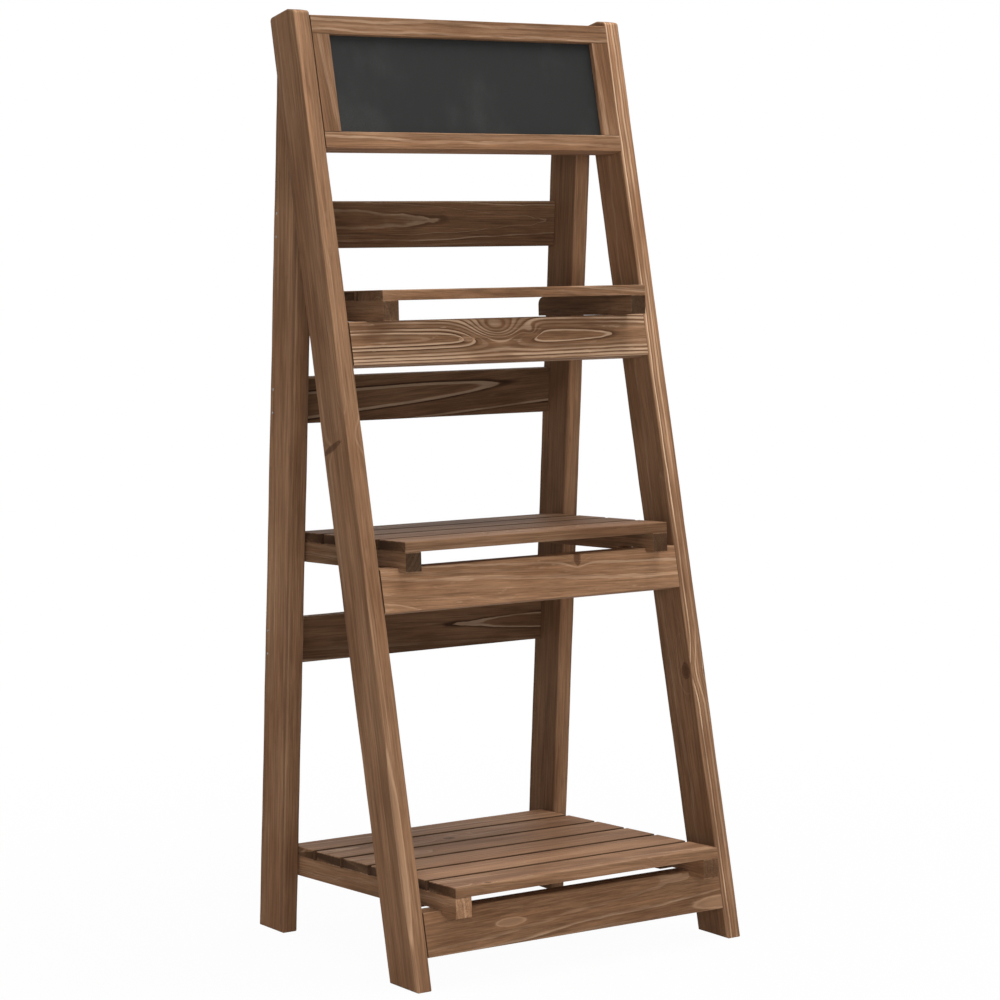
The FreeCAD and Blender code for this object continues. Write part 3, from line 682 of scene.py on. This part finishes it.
def timber_material(name):
    """Brown softwood under its stain: broad bands of stain, thin pale late wood lines that come and go,
    fibres, knots, bare patches, worn edges that also carry a painted highlight, darker sawn ends and dark
    joints, and painted shade in gaps, on some front edges and on the legs' inner faces."""
    tints = timber()
    material, web, shader = new_material(name)
    grain = web.vector("grain")
    tone_and_light, figure, width = web.split(web.vector("traits"))
    bare, sawn, wander = web.split(web.vector("habits"))
    knot_tree = knot_group()
    one, two = (web.group(knot_tree, Knot=web.vector(label)) for label in KNOTS)
    rim = web.most(one["Rim"], two["Rim"])
    knot = web.most(web.most(one["Heart"], two["Heart"]), rim)
    thickness = web.math("MINIMUM", web.most(web.times(figure, 0.5), 0.9), 2.2)
    rings = web.group(ring_group(), Grain=grain, Width=width, Push=web.plus(one["Push"], two["Push"]),
                      Wander=wander, Facing=web.vector("facing"), Thickness=thickness)
    fibres = web.group(fibre_group(), Grain=grain)
    fibre, streak, cloud, pore = (fibres[label] for label in ("Fibre", "Streak", "Cloud", "Pore"))
    colour = web.blend(web.slope(cloud, 0.28, 0.66, 0.3, 1.0), tints.smoke, tints.early)
    streaks = web.slope(fibres["Band"], 0.25, 0.75, 0.89, 1.12)
    streaks = web.times(streaks, web.slope(streak, 0.25, 0.75, 0.86, 1.14))
    streaks = web.times(streaks, web.slope(fibre, 0.25, 0.75, 0.68, 1.3))
    colour = web.shade(colour, web.times(streaks, web.slope(pore, 0.0, 1.0, 1.0, 0.8)))
    joint_stain_and_shade = web.value("joint_stain_and_shade")
    shows = web.times(figure, web.slope(cloud, 0.34, 0.6, 0.22, 1.0))
    shows = web.times(shows, web.slope(joint_stain_and_shade, 0.0, 0.5, 1.0, 0.15))
    late = web.times(rings["Late"], shows, clamp=True)
    colour = web.blend(web.times(web.times(rings["Early Edge"], shows), 0.55), colour, tints.heart)
    colour = web.blend(web.times(late, web.slope(fibre, 0.3, 0.7, 0.65, 1.0)), colour, tints.late)
    colour = web.blend(web.times(web.times(fibres["Patch"], bare), 0.7), colour, tints.late)
    for label in SPOTS:
        colour = web.blend(pale_spot(web, label), colour, tints.pale_wood_and_highlight)
    colour = web.blend(web.times(knot, 0.75), colour, tints.heart)
    # Worn arrises, painted paler as wear and as a painted highlight along them.
    rub_and_highlight = web.times(web.value("arris"), web.slope(streak, 0.4, 0.64, 0.0, 0.45))
    colour = web.blend(rub_and_highlight, colour, tints.pale_wood_and_highlight)
    shade = web.minus(1.0, web.times(web.value("cut_end"), sawn))
    # The tone sets each board's stain and paints light and shade over whole boards.
    colour = web.shade(colour, web.times(shade, tone_and_light))
    # The joint colour is dark stain in the joints and painted shade in gaps, on some front edges and on the
    # legs' inner faces.
    web.feed(shader.inputs["Base Color"], web.blend(web.times(joint_stain_and_shade, 0.85), colour, tints.joint))
    rough = web.plus(0.6, web.times(fibre, 0.22))
    web.feed(shader.inputs["Roughness"], web.minus(rough, web.times(late, 0.1)))
    shader.inputs["Specular IOR Level"].default_value = 0.06
    height = web.plus(web.times(late, 0.6), web.times(fibre, 0.6))
    height = web.minus(height, web.times(web.most(rim, pore), 0.6))
    web.bump(shader, height, strength=0.5, distance=0.25 * MM)
    return material


def slate_material(name):
    """Matt writing surface with wiped chalk: wide soft smudges and fine specks."""
    tints = bpy.context.scene.stand_board
    material, web, shader = new_material(name)
    place = web.add("ShaderNodeTexCoord").outputs["Object"]
    smudge = web.noise(place, (16, 16, 11), detail=4, roughness=0.55)
    speck = web.noise(place, (900, 900, 900))
    wiped = web.times(web.slope(smudge, 0.42, 0.72), web.slope(speck, 0.3, 0.7, 0.5, 1.0))
    web.feed(shader.inputs["Base Color"], web.blend(wiped, tints.slate, tints.dust))
    web.feed(shader.inputs["Roughness"], web.plus(0.55, web.times(smudge, 0.25)))
    shader.inputs["Specular IOR Level"].default_value = 0.22
    web.bump(shader, speck, strength=0.3, distance=0.08 * MM)
    return material


def zinc_material(name):
    """Plated steel with dull patches and fine scratches."""
    tints = bpy.context.scene.stand_board
    material, web, shader = new_material(name)
    place = web.add("ShaderNodeTexCoord").outputs["Object"]
    patch = web.noise(place, (420, 420, 420), detail=3)
    scratch = web.noise(place, (300, 4000, 4000))
    web.feed(shader.inputs["Base Color"], web.blend(web.slope(patch, 0.45, 0.72), tints.zinc, tints.tarnish))
    shader.inputs["Metallic"].default_value = 1.0
    web.feed(shader.inputs["Roughness"], web.plus(0.28, web.times(scratch, 0.3)))
    return material


def inner_span():
    """From the inner face of one front leg to that of the other."""
    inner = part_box("front_leg_right")[0][0]
    return -inner, inner


def box_corners(node, kind):
    """Corners of a square-edged board in its first two local axes."""
    low, high = extents(node, kind)
    return [(low[0], low[1]), (low[0], high[1]), (high[0], high[1]), (high[0], low[1])]


class STAND_OT_front_legs(bpy.types.Operator):
    """Makes the two front legs, with level feet and eased tops"""

    bl_idname = "plant_stand.front_legs"
    bl_label = "Front legs"

    def execute(self, context):
        fall = math.tan(leans()["front"])
        radii = np.array([0.4, 4.0, 4.0, 4.0, 0.4]) * MM
        for side in SIDES:
            node = f"front_leg_{side}"
            (_, front, left), (top, back, _) = extents(node, "front")
            shoulder, brow = top - 5 * MM, front + 14 * MM
            corners = [(front * fall, front), (shoulder, front), (top, brow), (top, back),
                       (back * fall, back)]
            # The inner face of the leg gets painted shade.
            make_board(node, "front", corners, radii, timber().arris, end_sides=(1, 2, 4),
                       shaded_face=-np.sign(left), edge_steps=48, **LONG_SIDE)
        return {"FINISHED"}


class STAND_OT_front_rails(bpy.types.Operator):
    """Makes the three front rails, their tops planed to the tilt of the shelves"""

    bl_idname = "plant_stand.front_rails"
    bl_label = "Front rails"

    def execute(self, context):
        slant = math.tan(leans()["front"] - leans()["shelf"])
        arris, fine = timber().rail_arris, timber().fine_arris
        radii = [arris, arris, 0.3 * MM, fine]
        for rail in RAILS:
            node = f"front_rail_{rail}"
            (foot, front, _), (top, back, _) = extents(node, "front")
            corners = [(foot, front), (top - (back - front) * slant, front), (top, back), (foot, back)]
            make_board(node, "front", corners, radii, ease=0.6 * MM, span=inner_span(), seams=True,
                       **SECTION)
        return {"FINISHED"}


class STAND_OT_chalkboard_frame(bpy.types.Operator):
    """Makes the two rails and two stiles round the chalkboard, grooved for its panel"""

    bl_idname = "plant_stand.chalkboard_frame"
    bl_label = "Chalkboard frame"

    def execute(self, context):
        rail_radii = np.array([1.0, 1.0, 0.3, 0.15, 0.15, 0.3, 0.6, 0.6]) * MM
        stile_radii = np.array([0.4, 0.8, 0.3, 0.15, 0.15, 0.3, 0.6, 0.4]) * MM
        for name, sense in (("top", 1), ("bottom", -1)):
            node = f"chalkboard_{name}_rail"
            make_board(node, "front", self.section(node, 0, sense), rail_radii, END_EASE, span=inner_span(),
                       seams=True, **SECTION)
        for side, sense in zip(SIDES, (-1, 1)):
            node = f"chalkboard_stile_{side}"
            make_board(node, "front", self.section(node, 2, sense), stile_radii, END_EASE, plane=(2, 1),
                       grain=0, across=2, through=1, shaded_gap_sides=(7,), seams=True, body_rows=16)
        return {"FINISHED"}

    def section(self, node, axis, sense):
        """Corners of a section with a groove for the panel in its inner side. Sense says on which end of
        the axis the outer side lies. A rail's groove ends at the panel's edge."""
        low, high = extents(node, "front")
        panel_low, panel_high = extents("chalkboard_panel", "front")
        outer, inner = (high[axis], low[axis])[::sense]
        bed = inner + sense * STILE_GROOVE
        if axis == 0:
            bed = (panel_high if sense > 0 else panel_low)[0] + sense * GROOVE_ROOM
        front, back = panel_low[1] - GROOVE_ROOM, panel_high[1] + GROOVE_ROOM
        return [(outer, low[1]), (inner, low[1]), (inner, front), (bed, front),
                (bed, back), (inner, back), (inner, high[1]), (outer, high[1])]


class STAND_OT_chalkboard_panel(bpy.types.Operator):
    """Finishes the thin writing panel"""

    bl_idname = "plant_stand.chalkboard_panel"
    bl_label = "Chalkboard panel"

    def execute(self, context):
        coat(frame["nodes"]["chalkboard_panel"], "Chalkboard surface", slate_material)
        return {"FINISHED"}


class STAND_OT_rear_legs(bpy.types.Operator):
    """Makes the two rear legs, with level feet and rounded tops"""

    bl_idname = "plant_stand.rear_legs"
    bl_label = "Rear legs"

    def execute(self, context):
        fall = math.tan(leans()["rear"])
        radii = np.array([0.4, 0.4, 9.0, 9.0]) * MM
        for side in SIDES:
            node = f"rear_leg_{side}"
            (_, back, left), (top, front, _) = extents(node, "rear")
            corners = [(back * fall, back), (front * fall, front), (top, front), (top, back)]
            # The inner face of the leg gets painted shade.
            make_board(node, "rear", corners, radii, timber().arris, end_sides=(0, 2), front_side=1,
                       shaded_face=-np.sign(left), edge_steps=48, **LONG_SIDE)
        return {"FINISHED"}


class STAND_OT_rear_rails(bpy.types.Operator):
    """Makes the three thin rails between the rear legs"""

    bl_idname = "plant_stand.rear_rails"
    bl_label = "Rear rails"

    def execute(self, context):
        for rail in RAILS:
            node = f"rear_rail_{rail}"
            corners = box_corners(node, "rear")
            make_board(node, "rear", corners, np.full(4, 1.5 * MM), ease=0.5 * MM, seams=True, **SECTION)
        return {"FINISHED"}


class STAND_OT_slats(bpy.types.Operator):
    """Makes the slats of the three shelves, with eased tops and square sawn ends"""

    bl_idname = "plant_stand.slats"
    bl_label = "Shelf slats"

    def execute(self, context):
        top, fine = timber().slat_arris, timber().fine_arris
        for shelf, count in SHELF_SLATS.items():
            for index in range(count):
                node = f"{shelf}_slat_{index + 1}"
                # A slat's sides that face the next slat get painted shade.
                gaps = [side for side, inner in ((0, index > 0), (2, index < count - 1)) if inner]
                make_board(node, "shelf", box_corners(node, "shelf"), [fine, top, top, fine], ease=fine,
                           shaded_gap_sides=gaps, **SECTION)
        return {"FINISHED"}


class STAND_OT_battens(bpy.types.Operator):
    """Makes the two bearers under each shelf, with their rounded tails and hooked noses"""

    bl_idname = "plant_stand.battens"
    bl_label = "Shelf battens"

    def execute(self, context):
        fine, tail, skin = timber().fine_arris, 8 * MM, 0.2 * MM
        for shelf in SHELF_SLATS:
            for side in SIDES:
                node = f"{shelf}_batten_{side}"
                low, high = extents(node, "shelf")
                notch = self.notch(node, low, high)
                radii = [fine, fine, tail, fine] + [fine] * len(notch)
                span = (low[2], high[2] + skin) if side == "left" else (low[2] - skin, high[2])
                make_board(node, "shelf", box_corners(node, "shelf") + notch, radii, END_EASE, span=span,
                           end_sides=(0, 2), edge_steps=24, **LONG_SIDE)
        return {"FINISHED"}

    def notch(self, node, low, high):
        """Corners of the hook's notch, if there is one, read from the CAD points on the batten's sides that
        lie a little above its underside in its front part."""
        local = cad_points(node) @ local_axes("shelf").T
        run, depth = local[:, 0] - low[0], local[:, 1] - low[1]
        on_face = np.minimum(local[:, 2] - low[2], high[2] - local[:, 2]) < 0.05 * MM
        in_front = run < 0.6 * (high[0] - low[0])
        roof = local[on_face & in_front & (depth > 2 * MM) & (depth < 6 * MM)]
        if len(roof) == 0:
            return []
        front, back, ceiling = roof[:, 0].min(), roof[:, 0].max(), roof[:, 1].mean()
        return [(back, low[1]), (back, ceiling), (front, ceiling), (front, low[1])]


class STAND_OT_nails(bpy.types.Operator):
    """Makes the nails through the rear legs, with small domed heads. Each is an oval ring carried along
    the nail: a dome one quarter of an ellipse high, the rim, and a shank that ends in a point"""

    bl_idname = "plant_stand.nails"
    bl_label = "Rear rail nails"

    def execute(self, context):
        points, faces = [], []
        half_width, half_height, dome = 0.9 * MM, 1.5 * MM, 0.45 * MM
        angle = np.linspace(0, math.tau, 20, endpoint=False)
        rise = np.linspace(0, math.pi / 2, 6)[1:]
        # Below the dome lie the underside of the rim, the two ends of the shank and the point.
        reach = np.r_[np.sin(rise), 0.98, 0.6, 0.6, 0.06][:, None]
        depth = np.r_[dome * np.cos(rise), np.array([-0.3, -0.4, -24.0, -26.0]) * MM][:, None]
        for number, (low, high) in enumerate(self.nails()):
            middle = (low + high) / 2
            out = np.sign(middle[0])
            skin = high[0] if out > 0 else low[0]
            rings = np.broadcast_arrays(
                skin + out * depth, middle[1] + half_width * reach * np.cos(angle),
                middle[2] + half_height * reach * np.sin(angle))
            points.append(np.stack(rings, axis=-1).reshape(-1, 3))
            faces += prism_faces(len(reach), len(angle), inside_out=out > 0, start=number * len(points[0]))
        obj = new_mesh_object("rear_rail_nail_heads", np.concatenate(points), faces)
        coat(obj, "Zinc plated steel", zinc_material)
        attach(obj, "rear_frame")
        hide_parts("rear_rail_nails")
        return {"FINISHED"}

    def nails(self):
        """Box of every nail of the CAD node: the points of one side, split where the height jumps."""
        cad = cad_points("rear_rail_nails")
        for side in (-1, 1):
            points = cad[cad[:, 0] * side > 0]
            points = points[np.argsort(points[:, 2])]
            breaks = np.flatnonzero(np.diff(points[:, 2]) > 5 * MM) + 1
            for part in np.split(points, breaks):
                yield part.min(0), part.max(0)


class STAND_OT_fittings(bpy.types.Operator):
    """Finishes the bolts, washers, screws and nails"""

    bl_idname = "plant_stand.fittings"
    bl_label = "Metal fittings"

    def execute(self, context):
        for name, node in frame["nodes"].items():
            if name.endswith(("_bolts", "_washers", "_screws", "_nails")):
                coat(node, "Zinc plated steel", zinc_material)
        return {"FINISHED"}


class STAND_OT_stage(bpy.types.Operator):
    """Sets the camera, the lamps, the pale floor and the room"""

    bl_idname = "plant_stand.stage"
    bl_label = "Stage"

    def execute(self, context):
        settings = context.scene.stand_stage
        self.camera(context.scene, settings)
        self.floor()
        self.room(context.scene, settings)
        self.lamp("key_lamp", (-1.5, -2.6, 0.8), 1.7, settings.key)
        self.lamp("overhead_lamp", (0.3, -0.3, 2.6), 1.8, settings.overhead)
        self.lamp("rear_lamp", (1.3, 2.6, 0.6), 1.5, settings.behind)
        context.scene.view_settings.view_transform = "Standard"
        return {"FINISHED"}

    def camera(self, scene, settings):
        yaw, pitch, roll = settings.camera_turn
        turn = Matrix.Rotation(-yaw, 4, "Z") @ Matrix.Rotation(math.pi / 2 + pitch, 4, "X")
        data = bpy.data.cameras.new("photo_camera")
        data.lens = settings.lens
        data.sensor_width = 36.0
        data.clip_end = 50.0
        camera = new_object("photo_camera", data)
        place = Matrix.Translation(settings.camera_place)
        camera.matrix_world = place @ turn @ Matrix.Rotation(roll, 4, "Z")
        scene.camera = camera

    def floor(self):
        """Flat square floor that looks white to the camera but keeps a faint shadow near the stand."""
        half = 6.0
        points = half * np.array([(-1, -1, 0), (1, -1, 0), (1, 1, 0), (-1, 1, 0)])
        floor = new_mesh_object("studio_floor", points, [[0, 1, 2, 3]])
        material = bpy.data.materials.new("Studio floor")
        web = clean_web(material)
        matt = web.add("ShaderNodeBsdfDiffuse")
        matt.inputs["Color"].default_value = (0.7, 0.7, 0.7, 1.0)
        from_stand = web.length(web.add("ShaderNodeTexCoord").outputs["Object"])
        share = web.slope(from_stand, 0.3, 1.3, 0.97, 1.0)
        web.white_where_seen(matt, web.add("ShaderNodeEmission"), "ShaderNodeOutputMaterial", share)
        floor.data.materials.append(material)

    def room(self, scene, settings):
        """White behind everything that the camera or a reflection sees, and a dimmer even light."""
        scene.world = bpy.data.worlds.new("Studio room")
        web = clean_web(scene.world)
        dim, white = web.add("ShaderNodeBackground"), web.add("ShaderNodeBackground")
        dim.inputs["Strength"].default_value = settings.ambient
        for background in (dim, white):
            background.inputs["Color"].default_value = (1, 1, 1, 1)
        web.white_where_seen(dim, white, "ShaderNodeOutputWorld")

    def lamp(self, name, place, size, power):
        data = bpy.data.lights.new(name, "AREA")
        data.shape = "SQUARE"
        data.size = size
        data.energy = power
        aim = Vector((0, 0, 0.45))
        away = Vector(place) - aim
        turn = away.to_track_quat("Z", "Y").to_matrix().to_4x4()
        new_object(name, data).matrix_world = Matrix.Translation(place) @ turn


class STAND_PT_panel(bpy.types.Panel):
    """Lists the settings and the pieces of the plant stand"""

    bl_idname = "STAND_PT_panel"
    bl_label = "Plant stand"
    bl_space_type = "VIEW_3D"
    bl_region_type = "UI"
    bl_category = "Plant stand"

    def draw(self, context):
        for settings, cls in SETTINGS.items():
            box = self.layout.box()
            for name in cls.__annotations__:
                box.prop(getattr(context.scene, settings), name)
        for operator in OPERATORS:
            self.layout.operator(operator.bl_idname)


OPERATORS = (
    STAND_OT_front_legs, STAND_OT_front_rails, STAND_OT_chalkboard_frame, STAND_OT_chalkboard_panel,
    STAND_OT_rear_legs, STAND_OT_rear_rails, STAND_OT_nails, STAND_OT_slats, STAND_OT_battens,
    STAND_OT_fittings, STAND_OT_stage)
SETTINGS = {
    "stand_timber": StandTimberSettings, "stand_board": StandBoardSettings, "stand_stage": StandStageSettings}
CLASSES = (*SETTINGS.values(), *OPERATORS, STAND_PT_panel)


def register():
    for cls in CLASSES:
        bpy.utils.register_class(cls)
    for name, cls in SETTINGS.items():
        setattr(bpy.types.Scene, name, bpy.props.PointerProperty(type=cls))


def unregister():
    for name in SETTINGS:
        delattr(bpy.types.Scene, name)
    for cls in reversed(CLASSES):
        bpy.utils.unregister_class(cls)


def main():
    register()
    bpy.ops.plant_stand.front_legs()
    bpy.ops.plant_stand.front_rails()
    bpy.ops.plant_stand.chalkboard_frame()
    bpy.ops.plant_stand.chalkboard_panel()
    bpy.ops.plant_stand.rear_legs()
    bpy.ops.plant_stand.rear_rails()
    bpy.ops.plant_stand.nails()
    bpy.ops.plant_stand.slats()
    bpy.ops.plant_stand.battens()
    bpy.ops.plant_stand.fittings()
    bpy.ops.plant_stand.stage()


if __name__ == "__main__":
    main()
